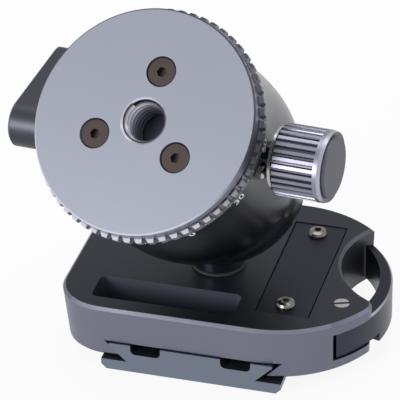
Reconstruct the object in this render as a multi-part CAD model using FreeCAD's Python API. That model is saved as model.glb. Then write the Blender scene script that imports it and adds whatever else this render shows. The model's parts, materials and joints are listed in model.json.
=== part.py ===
import FreeCAD
import Part
import math
import os

from FreeCAD import Placement, Rotation, Vector

os.makedirs("parts", exist_ok=True)

# Tripod ball head, standing upside down on its camera plate, in millimetres, +Z up.
# The origin is the middle of the camera plate's resting face, which a camera sits on in use.
# +X runs along the clamp towards its lever, and the plate slides in the clamp along Y.

# Camera plate, a 38 mm dovetail plate
PLATE_LENGTH = 54.0
PLATE_FLANGE_HALF = 21.0
PLATE_FLANGE_TOP = 2.6
PLATE_CORNER = 1.2
DOVETAIL_HALF = 19.0
DOVETAIL_NECK = 15.0
PLATE_TOP = 7.1
GROOVE_NEAR, GROOVE_FAR = 7.0, 14.0
GROOVE_DEPTH = 2.3
SCREW_SLOT_HALF_LENGTH = 14.0

# Clamp body
CLAMP_BOTTOM = 3.1
CLAMP_TOP = 16.2
PLATE_OVERHANG = 0.1
CLAMP_HALF_DEPTH = PLATE_LENGTH / 2 - PLATE_OVERHANG
CLAMP_LEFT = -32.6
CLAMP_DRAFT = 1.2
FOOT_CHAMFER = 0.8
NOSE_R = 3.4
CLAMP_CORNER = 11.0
CLAMP_ROUND_X = 13.8
CHANNEL_ROOF = 7.35
FLANK_GAP = 0.4
FLANK_RELIEF = 0.5
TOP_CHAMFER = 0.7
POCKET_X = (-24.4, 8.9)
POCKET_Y = (-22.4, -13.9)
POCKET_FLOOR = 9.6
POCKET_CORNER = 1.6

# Quick lever and its pivot
PIVOT_X, PIVOT_Y = 31.2, -11.4
PIN_R = 1.5
PIN_HEAD_R = 1.9
LEVER_BOTTOM, LEVER_TOP = 6.2, 12.9
GRIP_BOTTOM = 3.9
LEVER_OUTER_R = 26.0
LEVER_INNER = (12.3, 1.3, LEVER_OUTER_R - 1.7)
LEVER_TAIL_ANGLE = -46.3
LEVER_TIP_ANGLE = 46.0
GRIP_START_ANGLE = -15.0
LEVER_SWING = 60.0
SLOT_BOTTOM, SLOT_TOP = 6.0, 13.1
SCALLOP = (45.5, 8.0, 18.5)
CAM_R = 4.7
JAW_TRAVEL = 1.6
CATCH_ANGLE = 53.5
CATCH_Z = 13.2
CATCH_R = 1.85

# Moving jaw under its cover
CAVITY_X = (19.5, 25.1)
CAVITY_HALF = 13.3
JAW_X = (20.0, 23.0)
JAW_HALF = 13.0
COVER_X = (13.0, 25.4)
COVER_HALF = 19.0
COVER_BOTTOM = 14.2
COVER_TOP = 16.0
COVER_SCREW = (19.2, 15.1)
FOLLOWER_Y, FOLLOWER_Z, FOLLOWER_R = -10.8, 9.6, 1.8
SPRING_Y, SPRING_Z, SPRING_R = 6.5, 10.8, 1.5

# Ball, stem and the pose of the head on the ball
BALL_R = 17.0
STEM_R = 5.85
STEM_Y = -2.0
BALL_Z = 39.5
HEAD_TURN = -9.2
HEAD_LEAN = 46.8

# Head, measured along its own axis from the ball's middle towards the tripod
MOUTH = -6.4
SHELL_BALL_R = BALL_R + 3.2
BORE_R = BALL_R + 0.35
HOUSING_END = 41.3
HOUSING_END_R = 24.0
SHOULDER = HOUSING_END - 2.7
SHOULDER_R = 13.9
NOTCH_R = 6.5
RING_BOTTOM = HOUSING_END + 0.5
RING_TOP = RING_BOTTOM + 2.0
RING_R = HOUSING_END_R + 0.7
BASE_FACE = RING_TOP + 5.5
COIN_END = BASE_FACE - 2.9
COIN_R = RING_R + 0.8
BASE_FACE_R = COIN_R - 0.9
COIN_RIDGES = 60
THREAD_R = 4.76
THREAD_CHAMFER_R = 5.15
THREAD_DEPTH = 12.0
BASE_SCREW_R = 11.05
BASE_SCREW_TURN = 86.0
HUB_TOP = 29.9
HUB_R = BORE_R - 0.35

# Knobs, on one line across the head, a little clockwise of the tilt axis
KNOB_CLOCK = 2.8
LOCK_ALONG = 24.3
LOCK_FOOT = HOUSING_END_R + 1.4
LOCK_STEP = LOCK_FOOT + 3.8
LOCK_END = LOCK_STEP + 10.6
LOCK_BOSS_R = 4.6
LOCK_SPINDLE_R = 2.95
LOCK_HUB_R = 5.5
WING_REACH = 21.0
WING_TIP_R = 3.0
WING_ANGLE = -33.0
PAN_ALONG = 33.4
PAN_FOOT = HOUSING_END_R + 2.3
PAN_RIDGE_END = PAN_FOOT + 9.6
PAN_BAND_END = PAN_RIDGE_END + 1.6
PAN_CAP_END = PAN_BAND_END + 0.7
PAN_BOSS_R = 3.3
PAN_SPINDLE_R = 2.45
PAN_R = 7.8
PAN_RIDGES = 30
PAN_CAP_R = PAN_R - 1.1
INDEX_CLOCK = -7.0
INDEX_ALONG = 36.0
INDEX_R = 1.5

# Running clearance round what turns or slides in a bore, and the small gap between fitted faces
RUNNING = 0.1
FITTED = 0.02

X, Y, Z = Vector(1, 0, 0), Vector(0, 1, 0), Vector(0, 0, 1)


# Small helpers

def polar(radius, degrees, z=0.0, cx=0.0, cy=0.0):
    a = math.radians(degrees)
    return Vector(cx + radius * math.cos(a), cy + radius * math.sin(a), z)


def cylinder(radius, start, end, at=(0.0, 0.0), axis=Z):
    """A cylinder along an axis, from start to end, at a place across it."""
    if axis == Z:
        base = Vector(at[0], at[1], start)
    elif axis == X:
        base = Vector(start, at[0], at[1])
    else:
        base = Vector(at[0], start, at[1])
    return Part.makeCylinder(radius, end - start, base, axis)


def cone(r1, r2, start, end, at=(0.0, 0.0)):
    return Part.makeCone(r1, r2, end - start, Vector(at[0], at[1], start), Z)


def block(x, y, z):
    return Part.makeBox(x[1] - x[0], y[1] - y[0], z[1] - z[0], Vector(x[0], y[0], z[0]))


def prism(points, direction):
    return Part.Face(Part.makePolygon(points + [points[0]])).extrude(direction)


def revolve(points):
    """A solid of revolution about Z from (radius, height) points."""
    outline = [Vector(r, 0, z) for r, z in points]
    return Part.Face(Part.makePolygon(outline + [outline[0]])).revolve(Vector(), Z, 360)


def face_of(edges):
    return Part.Face(Part.Wire(Part.__sortEdges__(edges)))


def rounded_block(x, y, z, radius):
    solid = block(x, y, z)
    upright = [e for e in solid.Edges if abs(e.Vertexes[0].Z - e.Vertexes[1].Z) > 1e-6]
    return solid.makeFillet(radius, upright)


def ridged(outer, inner, count, start, end, top_share=0.45, foot_share=0.75):
    """A prism whose rim has evenly spaced ridges with sloping sides."""
    step = 360.0 / count
    points = []
    for i in range(count):
        mid = i * step
        points.append(polar(inner, mid - foot_share * step / 2, start))
        points.append(polar(outer, mid - top_share * step / 2, start))
        points.append(polar(outer, mid + top_share * step / 2, start))
        points.append(polar(inner, mid + foot_share * step / 2, start))
    return prism(points, Vector(0, 0, end - start))


def hexagon(across, start, end, at=(0.0, 0.0)):
    corner = across / math.sqrt(3)
    points = [polar(corner, 60 * i, start, at[0], at[1]) for i in range(6)]
    return prism(points, Vector(0, 0, end - start))


def dovetail_x(z, gap=0.0):
    """Half the width of the plate's dovetail flank at a height."""
    return DOVETAIL_NECK + (z - PLATE_FLANGE_TOP) + gap * math.sqrt(2)


nodes = {}


# Camera plate with its captive camera screw

def make_camera_plate():
    half = PLATE_LENGTH / 2
    c = PLATE_CORNER
    lip = PLATE_FLANGE_TOP + (DOVETAIL_HALF - DOVETAIL_NECK)
    side = [(PLATE_FLANGE_HALF - c, 0), (PLATE_FLANGE_HALF, c), (PLATE_FLANGE_HALF, PLATE_FLANGE_TOP),
            (DOVETAIL_NECK, PLATE_FLANGE_TOP), (DOVETAIL_HALF, lip), (DOVETAIL_HALF, PLATE_TOP)]
    outline = [Vector(x, -half, z) for x, z in side]
    outline += [Vector(-x, -half, z) for x, z in reversed(side)]
    plate = prism(outline, Vector(0, PLATE_LENGTH, 0))
    for sign in (-1, 1):
        ends = sorted((sign * GROOVE_NEAR, sign * GROOVE_FAR))
        groove = block(ends, (-half - 1, half + 1), (PLATE_TOP - GROOVE_DEPTH, PLATE_TOP + 1))
        floor = [e for e in groove.Edges if e.Vertexes[0].Z < PLATE_TOP and e.Vertexes[1].Z < PLATE_TOP
                 and abs(e.Vertexes[0].X - e.Vertexes[1].X) < 1e-6]
        plate = plate.cut(groove.makeFillet(1.2, floor))
    reach = SCREW_SLOT_HALF_LENGTH
    plate = plate.cut(rounded_block((-3.5, 3.5), (-reach, reach), (-1, PLATE_TOP + 1), 3.4))
    return plate.cut(rounded_block((-6.7, 6.7), (-reach - 3, reach + 3), (2.8, PLATE_TOP + 1), 6.6))


def make_camera_screw():
    head = cylinder(6.2, 4.9, 7.0)
    head = head.makeChamfer(0.4, [e for e in head.Edges if e.Length > 30])
    slot = block((-7, 7), (-0.8, 0.8), (6.0, 8))
    return head.fuse(cone(2.7, 3.1, 0.1, 0.6)).fuse(cylinder(3.1, 0.6, 4.9)).cut(slot).removeSplitter()


nodes["camera_plate"] = make_camera_plate()
nodes["camera_screw"] = make_camera_screw()
nodes["screw_ring"] = cylinder(5.4, 2.85, 4.85).cut(cylinder(3.15, 2, 6))


# Clamp body

def clamp_outline(z, half, left, corner, centre):
    """D-shaped outline: a straight front and back, round corners at the left and a round right end."""
    near, far = -half, half
    swing = corner * (1 - math.sqrt(0.5))
    return [
        Part.makeLine(Vector(left + corner, near, z), Vector(centre, near, z)),
        Part.Arc(Vector(centre, near, z), Vector(centre + half, 0, z), Vector(centre, far, z)).toShape(),
        Part.makeLine(Vector(centre, far, z), Vector(left + corner, far, z)),
        Part.Arc(Vector(left + corner, far, z), Vector(left + swing, far - swing, z),
                 Vector(left, far - corner, z)).toShape(),
        Part.makeLine(Vector(left, far - corner, z), Vector(left, near + corner, z)),
        Part.Arc(Vector(left, near + corner, z), Vector(left + swing, near + swing, z),
                 Vector(left + corner, near, z)).toShape(),
    ]


def drafted_body():
    """The clamp's block, a little smaller at its foot than at its top, with the foot's edge chamfered."""
    half, left, corner = CLAMP_HALF_DEPTH, CLAMP_LEFT, CLAMP_CORNER
    levels = [(CLAMP_BOTTOM, CLAMP_DRAFT / 2 + FOOT_CHAMFER, CLAMP_DRAFT + FOOT_CHAMFER),
              (CLAMP_BOTTOM + FOOT_CHAMFER, CLAMP_DRAFT / 2, CLAMP_DRAFT), (CLAMP_TOP, 0, 0)]
    wires = []
    for z, inset, left_inset in levels:
        edges = clamp_outline(z, half - inset, left + left_inset, corner - inset, CLAMP_ROUND_X)
        wires.append(Part.Wire(edges))
    return Part.makeLoft(wires, True, True)


def sector(radius, start, end, z0, z1, cx, cy):
    middle = (start + end) / 2
    a, b, c = (polar(radius, t, z0, cx, cy) for t in (start, middle, end))
    centre = Vector(cx, cy, z0)
    edges = [Part.makeLine(centre, a), Part.Arc(a, b, c).toShape(), Part.makeLine(c, centre)]
    return face_of(edges).extrude(Vector(0, 0, z1 - z0))


def make_scallop(bottom, top):
    x, y, r = SCALLOP
    return cylinder(r, bottom, top, (x, y))


def make_clamp_body():
    body = drafted_body()
    body = body.cut(make_scallop(0, 20))
    nose = [e for e in body.Edges if e.Vertexes[0].X > 34 and e.Vertexes[0].Y < 0
            and abs(e.Vertexes[0].Z - e.Vertexes[-1].Z) > 10]
    body = body.makeFillet(NOSE_R, nose)
    rim = [e for e in body.Edges if min(v.Z for v in e.Vertexes) > CLAMP_TOP - 1e-6]
    body = body.makeChamfer(TOP_CHAMFER, rim)
    foot, roof = CLAMP_BOTTOM - 1, CHANNEL_ROOF
    left, right = FLANK_GAP, FLANK_GAP + FLANK_RELIEF
    channel = [Vector(-dovetail_x(foot, left), -40, foot), Vector(-dovetail_x(roof, left), -40, roof),
               Vector(dovetail_x(roof, right), -40, roof), Vector(dovetail_x(foot, right), -40, foot)]
    body = body.cut(prism(channel, Vector(0, 80, 0)))
    body = body.cut(rounded_block(POCKET_X, POCKET_Y, (POCKET_FLOOR, 20), POCKET_CORNER))
    body = body.cut(block(CAVITY_X, (-CAVITY_HALF, CAVITY_HALF), (CHANNEL_ROOF - 1, COVER_BOTTOM + 1)))
    body = body.cut(block((14, CAVITY_X[1]), (-CAVITY_HALF, CAVITY_HALF), (foot, CHANNEL_ROOF)))
    body = body.cut(block((COVER_X[0] - 0.1, COVER_X[1] + 0.1), (-COVER_HALF - 0.1, COVER_HALF + 0.1),
                          (COVER_BOTTOM, 20)))
    for sign in (-1, 1):
        body = body.cut(cylinder(1.25, 9.0, 20, (COVER_SCREW[0], sign * COVER_SCREW[1])))
        body = body.cut(cylinder(SPRING_R + RUNNING, 15.2, CAVITY_X[0] + 1, (sign * SPRING_Y, SPRING_Z), X))
    body = body.cut(cylinder(FOLLOWER_R + 0.06, CAVITY_X[1] - 1, PIVOT_X, (FOLLOWER_Y, FOLLOWER_Z), X))
    px, py = PIVOT_X, PIVOT_Y
    body = body.cut(cylinder(CAM_R + 0.6, SLOT_BOTTOM, SLOT_TOP, (px, py)))
    body = body.cut(sector(8.4, 199, 271, SLOT_BOTTOM, SLOT_TOP, px, py))
    body = body.cut(sector(30, 270.5, 432, SLOT_BOTTOM, SLOT_TOP, px, py))
    body = body.cut(cylinder(PIN_R, 4.0, 20, (px, py)))
    body = body.cut(cylinder(PIN_HEAD_R, 14.9, 20, (px, py)))
    body = body.cut(cylinder(3.2, 0, 20, (0, STEM_Y))).cut(cylinder(5.2, 0, 11.4, (0, STEM_Y)))
    hole = polar(CLAMP_HALF_DEPTH - 4.5, CATCH_ANGLE, CATCH_Z, CLAMP_ROUND_X, 0)
    return body.cut(Part.makeCylinder(CATCH_R + 0.05, 8, hole, polar(1, CATCH_ANGLE)))


def make_lever_catch():
    """A round-nosed button in the clamp's side wall, where the lever's tip lands."""
    start = polar(CLAMP_HALF_DEPTH - 4.4, CATCH_ANGLE, CATCH_Z, CLAMP_ROUND_X, 0)
    way = polar(1, CATCH_ANGLE)
    pin = Part.makeCylinder(CATCH_R, 5.2, start, way)
    nose = [e for e in pin.Edges if e.Closed and e.CenterOfMass.distanceToPoint(start) > 4]
    return pin.makeChamfer(0.6, nose)


nodes["clamp_body"] = make_clamp_body()
nodes["lever_catch"] = make_lever_catch()


# Cover over the moving jaw, and its two screws

def make_jaw_cover():
    cover = block(COVER_X, (-COVER_HALF, COVER_HALF), (COVER_BOTTOM + FITTED, COVER_TOP))
    for sign in (-1, 1):
        cover = cover.cut(cylinder(1.35, 10, 20, (COVER_SCREW[0], sign * COVER_SCREW[1])))
    rim = [e for e in cover.Edges if min(v.Z for v in e.Vertexes) > COVER_TOP - 1e-6 and e.Length > 10]
    return cover.makeChamfer(0.25, rim)


def make_cover_screw(y):
    x = COVER_SCREW[0]
    head = revolve([(0, 0), (2.2, 0), (2.2, 0.5), (1.9, 1.0), (1.2, 1.3), (0, 1.3)])
    head = head.cut(hexagon(1.5, 0.6, 2))
    head.translate(Vector(x, y, COVER_TOP + FITTED))
    return head.fuse(cylinder(1.25, 9.2, COVER_TOP + FITTED, (x, y))).removeSplitter()


nodes["jaw_cover"] = make_jaw_cover()
nodes["cover_screw_1"] = make_cover_screw(-COVER_SCREW[1])
nodes["cover_screw_2"] = make_cover_screw(COVER_SCREW[1])


# Moving jaw, its cam follower and its springs

def make_moving_jaw():
    foot = CLAMP_BOTTOM + 0.2
    lip = CHANNEL_ROOF - 0.25
    toe = dovetail_x(foot, FLANK_GAP)
    corner = dovetail_x(lip, FLANK_GAP)
    points = [(toe, foot), (corner, lip), (corner, COVER_BOTTOM - 0.2), (JAW_X[1], COVER_BOTTOM - 0.2),
              (JAW_X[1], foot)]
    jaw = prism([Vector(x, -JAW_HALF, z) for x, z in points], Vector(0, 2 * JAW_HALF, 0))
    for sign in (-1, 1):
        jaw = jaw.cut(cylinder(SPRING_R + RUNNING, 10, 22.0, (sign * SPRING_Y, SPRING_Z), X))
    return jaw.cut(cylinder(FOLLOWER_R, 21.4, 30, (FOLLOWER_Y, FOLLOWER_Z), X))


def make_jaw_spring(y):
    """One compression spring, as a plain sleeve of the coil's size."""
    return cylinder(SPRING_R, 15.3, 21.9, (y, SPRING_Z), X).cut(cylinder(0.9, 10, 30, (y, SPRING_Z), X))


nodes["moving_jaw"] = make_moving_jaw()
follower = cylinder(FOLLOWER_R - FITTED, 21.42, PIVOT_X - CAM_R - 0.1, (FOLLOWER_Y, FOLLOWER_Z), X)
nodes["cam_follower"] = follower.makeChamfer(0.3, [follower.Edges[0]])
nodes["jaw_spring_1"] = make_jaw_spring(-SPRING_Y)
nodes["jaw_spring_2"] = make_jaw_spring(SPRING_Y)


# Lever: a cam round the pivot, a short tail, and a crescent grip along the round end of the clamp

def cam_point(swing, z):
    """The cam that a flat follower rides, lifting it evenly with the swing: a circle's involute."""
    rate = JAW_TRAVEL / math.radians(LEVER_SWING)
    lift = CAM_R - rate * math.radians(swing)
    a = math.radians(180 + swing)
    out = Vector(math.cos(a), math.sin(a), 0)
    along = Vector(-math.sin(a), math.cos(a), 0)
    return Vector(PIVOT_X, PIVOT_Y, z) + out * lift - along * rate


def make_lever():
    z0 = LEVER_BOTTOM
    px, py = PIVOT_X, PIVOT_Y
    outer = [polar(LEVER_OUTER_R, t, z0, CLAMP_ROUND_X, 0)
             for t in (LEVER_TAIL_ANGLE, 0.0, LEVER_TIP_ANGLE)]
    cx, cy, cr = LEVER_INNER
    inner_tip = polar(cr, LEVER_TIP_ANGLE - 3, z0, cx, cy)
    inner_mid = polar(cr, 12, z0, cx, cy)
    inner_foot = polar(cr, -19, z0, cx, cy)
    cam = [cam_point(LEVER_SWING * i / 4, z0) for i in range(5)]
    curve = Part.BSplineCurve()
    curve.interpolate(cam)
    low = CAM_R - JAW_TRAVEL
    rest = polar(low, 180 + LEVER_SWING, z0, px, py)
    heel = polar(low, 262, z0, px, py)
    tail = polar(7.0, 262, z0, px, py)
    shoulder = polar(CAM_R, 150, z0, px, py)
    top = polar(CAM_R, 75, z0, px, py)
    edges = [
        curve.toShape(),
        Part.makeLine(cam[-1], rest),
        Part.Arc(rest, polar(low, (180 + LEVER_SWING + 262) / 2, z0, px, py), heel).toShape(),
        Part.makeLine(heel, tail),
        Part.makeLine(tail, outer[0]),
        Part.Arc(outer[0], outer[1], outer[2]).toShape(),
        Part.makeLine(outer[2], inner_tip),
        Part.Arc(inner_tip, inner_mid, inner_foot).toShape(),
        Part.makeLine(inner_foot, top),
        Part.Arc(top, polar(CAM_R, 112, z0, px, py), shoulder).toShape(),
        Part.makeLine(shoulder, cam[0]),
    ]
    lever = face_of(edges).extrude(Vector(0, 0, LEVER_TOP - LEVER_BOTTOM))
    grip = lever.copy()
    grip.translate(Vector(0, 0, GRIP_BOTTOM - LEVER_BOTTOM))
    grip = grip.common(sector(40, GRIP_START_ANGLE, 60, 0, 20, CLAMP_ROUND_X, 0))
    lever = lever.fuse(grip).removeSplitter()
    rim = [e for e in lever.Edges if min(v.Z for v in e.Vertexes) > LEVER_TOP - 1e-6 and e.Length > 30
           and e.CenterOfMass.x > 30]
    lever = lever.makeChamfer(0.4, rim[:1])
    return lever.cut(cylinder(PIN_R + 0.05, 0, 20, (px, py)))


def make_lever_pin():
    at = (PIVOT_X, PIVOT_Y)
    pin = cylinder(PIN_R - FITTED, 4.1, 15.0, at).fuse(cylinder(PIN_HEAD_R - 0.1, 14.95, 16.1, at))
    slot = block((-4, 4), (-0.35, 0.35), (15.4, 18))
    slot.rotate(Vector(), Z, 20)
    slot.translate(Vector(PIVOT_X, PIVOT_Y, 0))
    return pin.cut(slot).removeSplitter()


nodes["lever"] = make_lever()
nodes["lever_pin"] = make_lever_pin()


# Ball with its stem, the screw that holds the clamp on it and the washer between them

def make_ball_stem():
    ball = Part.makeSphere(BALL_R, Vector(0, STEM_Y, BALL_Z))
    neck = cylinder(STEM_R, CLAMP_TOP + 0.55, BALL_Z - 10, (0, STEM_Y))
    return ball.fuse(neck).cut(cylinder(3.0, 0, 29, (0, STEM_Y))).removeSplitter()


def make_clamp_screw():
    at = (0, STEM_Y)
    head = cylinder(5.0, 7.7, 11.3, at).cut(hexagon(5.0, 7, 10.2, at))
    return head.fuse(cylinder(2.97, 11.3, 28, at)).removeSplitter()


nodes["ball_stem"] = make_ball_stem()
nodes["clamp_screw"] = make_clamp_screw()
nodes["stem_washer"] = cylinder(6.3, CLAMP_TOP + 0.03, CLAMP_TOP + 0.53, (0, STEM_Y)).cut(
    cylinder(3.1, 10, 20, (0, STEM_Y)))


# Head: everything below is drawn about the head's own axis and then leaned over on the ball

HEAD = Placement(Vector(0, STEM_Y, BALL_Z), Rotation(Z, HEAD_TURN).multiply(Rotation(X, HEAD_LEAN)))


def lean(shape):
    placed = shape.copy()
    placed.Placement = HEAD.multiply(placed.Placement)
    return placed


def radial(shape, clock, along):
    """Turns a shape drawn about X so that it points out of the head at a clock angle and height."""
    placed = shape.copy()
    placed.translate(Vector(0, 0, along))
    placed.rotate(Vector(), Z, clock)
    return placed


def housing_outline():
    """Outer wall: round about the ball, then widening smoothly to the panning joint."""
    rim = Vector(math.sqrt(SHELL_BALL_R ** 2 - MOUTH ** 2), 0, MOUTH)
    waist = Vector(SHELL_BALL_R + 0.35, 0, 1.5)
    curve = Part.BSplineCurve()
    curve.interpolate([rim, Vector(SHELL_BALL_R - 0.3, 0, -3.4), waist, Vector(HOUSING_END_R - 1.3, 0, 10),
                       Vector(HOUSING_END_R - 0.4, 0, 21), Vector(HOUSING_END_R, 0, HOUSING_END - 0.6)])
    return curve, rim


def make_housing():
    curve, rim = housing_outline()
    seat_r = BALL_R + 0.3
    lip = Vector(math.sqrt(seat_r ** 2 - MOUTH ** 2), 0, MOUTH)
    mid = Vector(seat_r * math.cos(math.radians(-12)), 0, seat_r * math.sin(math.radians(-12)))
    end = Vector(HOUSING_END_R - 0.6, 0, HOUSING_END)
    corners = [Vector(SHOULDER_R, 0, HOUSING_END), Vector(SHOULDER_R, 0, SHOULDER), Vector(BORE_R, 0, SHOULDER),
               Vector(BORE_R, 0, 0), Vector(seat_r, 0, 0)]
    edges = [curve.toShape(), Part.makeLine(Vector(HOUSING_END_R, 0, HOUSING_END - 0.6), end),
             Part.makeLine(end, corners[0])]
    edges += [Part.makeLine(a, b) for a, b in zip(corners, corners[1:])]
    edges += [Part.Arc(corners[-1], mid, lip).toShape(), Part.makeLine(lip, rim)]
    shell = face_of(edges).revolve(Vector(), Z, 360)
    notch = cylinder(NOTCH_R, 10, 30, (0, 0), Y).fuse(block((-NOTCH_R, NOTCH_R), (10, 30), (-20, 0)))
    shell = shell.cut(notch)
    lock = cylinder(LOCK_BOSS_R, HUB_R - 1, LOCK_FOOT - 0.2, axis=X)
    shell = shell.fuse(radial(lock, KNOB_CLOCK + 180, LOCK_ALONG).cut(cylinder(BORE_R, -30, 60)))
    pan = cylinder(PAN_BOSS_R, HUB_R - 1, PAN_FOOT - 0.9, axis=X)
    shell = shell.fuse(radial(pan, KNOB_CLOCK, PAN_ALONG).cut(cylinder(BORE_R, -30, 60)))
    for radius, clock, along in ((LOCK_SPINDLE_R + RUNNING, KNOB_CLOCK + 180, LOCK_ALONG),
                                 (PAN_SPINDLE_R + RUNNING, KNOB_CLOCK, PAN_ALONG)):
        shell = shell.cut(radial(cylinder(radius, HUB_R - 2, LOCK_END, axis=X), clock, along))
    seat = cylinder(INDEX_R, HOUSING_END_R - 4, HOUSING_END_R + 4, axis=X)
    return shell.cut(radial(seat, INDEX_CLOCK, INDEX_ALONG)).removeSplitter()


nodes["housing"] = lean(make_housing())
index_pin = cylinder(INDEX_R - FITTED, HOUSING_END_R - 3.8, HOUSING_END_R + 0.9, axis=X)
index_pin = index_pin.makeChamfer(0.5, [e for e in index_pin.Edges
                                        if e.Closed and e.CenterOfMass.x > HOUSING_END_R])
nodes["index_pin"] = lean(radial(index_pin, INDEX_CLOCK, INDEX_ALONG))


# Brake inside the head: a cup pressed on the ball by the lock spindle's cone, and its spring

def make_pressure_cup():
    cup = cylinder(BORE_R - 0.15, 9.0, 20.9).fuse(cone(7.4, 4.2, 20.9, 27.4))
    cup = cup.cut(Part.makeSphere(BALL_R + 0.3)).cut(cylinder(6.0, 5, 18.6))
    return cup.cut(cylinder(3.3, 21.5, 30)).removeSplitter()


nodes["pressure_cup"] = lean(make_pressure_cup())
nodes["cup_spring"] = lean(cylinder(3.0, 21.6, HUB_TOP - RUNNING).cut(cylinder(2.2, 10, 40)))


# Lock knob: a wing on a spindle with a cone at its tip

def wing_outline(z, hub_r, reach, tip_r):
    """Two circles joined by their outer tangents, with the wing along +Y."""
    lean_angle = math.degrees(math.asin((hub_r - tip_r) / reach))
    right, left = lean_angle, 180 - lean_angle
    hub = [polar(hub_r, t, z) for t in (left, 270, right)]
    end = [polar(tip_r, t, z, 0, reach) for t in (right, 90, left)]
    return [Part.Arc(*hub).toShape(), Part.makeLine(hub[2], end[0]), Part.Arc(*end).toShape(),
            Part.makeLine(end[2], hub[0])]


def make_lock_knob():
    outline = wing_outline(LOCK_STEP, LOCK_HUB_R, WING_REACH, WING_TIP_R)
    wing = face_of(outline).extrude(Vector(0, 0, LOCK_END - LOCK_STEP))
    rim = [e for e in wing.Edges if min(v.Z for v in e.Vertexes) > LOCK_END - 1e-6]
    knob = wing.makeChamfer(0.5, rim).fuse(cylinder(LOCK_HUB_R - 0.7, LOCK_FOOT + 0.7, LOCK_STEP))
    knob = knob.cut(cylinder(LOCK_SPINDLE_R + FITTED, 0, LOCK_END - 3.8)).removeSplitter()
    knob.rotate(Vector(), Z, -WING_ANGLE)
    knob.rotate(Vector(), Y, 90)
    knob.rotate(Vector(), X, 180)
    return knob


def on_lock_axis(shape):
    return lean(radial(shape, KNOB_CLOCK + 180, LOCK_ALONG))


nodes["lock_knob"] = on_lock_axis(make_lock_knob())
spindle_tip = Part.makeCone(1.0, LOCK_SPINDLE_R, 3.2, Vector(7.6, 0, 0), X)
shank = cylinder(LOCK_SPINDLE_R, 10.8, LOCK_END - 4.0, axis=X)
nodes["lock_spindle"] = on_lock_axis(spindle_tip.fuse(shank).removeSplitter())
nodes["lock_washer"] = on_lock_axis(
    cylinder(5.0, LOCK_FOOT - 0.15, LOCK_FOOT + 0.45, axis=X).cut(
        cylinder(LOCK_SPINDLE_R + RUNNING, 0, LOCK_END, axis=X)))


# Pan knob: ridged, with a smooth domed end, its cap, washer, spindle and brake pad

def make_pan_knob():
    inner, ridge_end, band_end = PAN_FOOT, PAN_RIDGE_END, PAN_BAND_END
    body = ridged(PAN_R, PAN_R - 0.55, PAN_RIDGES, inner, ridge_end)
    ends = revolve([(0, inner), (PAN_R - 0.5, inner), (PAN_R + 0.1, inner + 0.6), (PAN_R + 0.1, ridge_end + 1),
                    (0, ridge_end + 1)])
    dome = revolve([(0, ridge_end), (PAN_R, ridge_end), (PAN_R, ridge_end + 0.9), (PAN_R - 0.25, ridge_end + 1.7),
                    (PAN_R - 0.8, band_end), (PAN_CAP_R, band_end), (PAN_CAP_R, band_end - 0.9), (0, band_end - 0.9)])
    knob = body.common(ends).fuse(dome).cut(cylinder(PAN_SPINDLE_R + FITTED, 0, inner + 8))
    knob.rotate(Vector(), Y, 90)
    return knob


def make_pan_cap():
    cap = cylinder(PAN_CAP_R - FITTED, PAN_BAND_END - 0.9 + FITTED, PAN_CAP_END)
    cap = cap.makeChamfer(0.3, [e for e in cap.Edges if e.Closed and e.CenterOfMass.z > PAN_BAND_END])
    cap.rotate(Vector(), Y, 90)
    return cap


def on_pan_axis(shape):
    return lean(radial(shape, KNOB_CLOCK, PAN_ALONG))


nodes["pan_knob"] = on_pan_axis(make_pan_knob())
nodes["pan_cap"] = on_pan_axis(make_pan_cap())
nodes["pan_washer"] = on_pan_axis(
    cylinder(PAN_R - 0.9, PAN_FOOT - 0.8, PAN_FOOT - FITTED, axis=X).cut(
        cylinder(PAN_SPINDLE_R + FITTED, 0, PAN_FOOT, axis=X)))
nodes["pan_spindle"] = on_pan_axis(cylinder(PAN_SPINDLE_R, HUB_R + 1.7, PAN_FOOT + 7.9, axis=X))
nodes["pan_brake_pad"] = on_pan_axis(cylinder(PAN_SPINDLE_R + 0.05, HUB_R - 0.9, HUB_R + 1.6, axis=X))


# Panning base: hub, scale ring and coin-edged plate held together by three countersunk screws

def base_screw_places():
    return [polar(BASE_SCREW_R, BASE_SCREW_TURN + 120 * i) for i in range(3)]


def make_pan_hub():
    flange_end = SHOULDER - 0.15
    groove = PAN_ALONG
    hub = revolve([(0, HUB_TOP), (HUB_R, HUB_TOP), (HUB_R, groove - 3.1), (HUB_R - 1.0, groove - 2.7),
                   (HUB_R - 1.0, groove + 2.7), (HUB_R, groove + 3.1), (HUB_R, flange_end),
                   (SHOULDER_R - RUNNING, flange_end), (SHOULDER_R - RUNNING, RING_TOP), (0, RING_TOP)])
    hub = hub.cut(cylinder(THREAD_R, BASE_FACE - THREAD_DEPTH, 60))
    for p in base_screw_places():
        hub = hub.cut(cylinder(1.5, RING_TOP - 8.2, 60, (p.x, p.y)))
    return hub


def make_scale_ring():
    ring = cylinder(RING_R, RING_BOTTOM, RING_TOP - FITTED).cut(cylinder(SHOULDER_R + 0.1, 0, 60))
    rim = [e for e in ring.Edges if e.Closed and abs(e.Length - 2 * math.pi * RING_R) < 1e-3]
    return ring.makeChamfer(0.35, rim)


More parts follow.
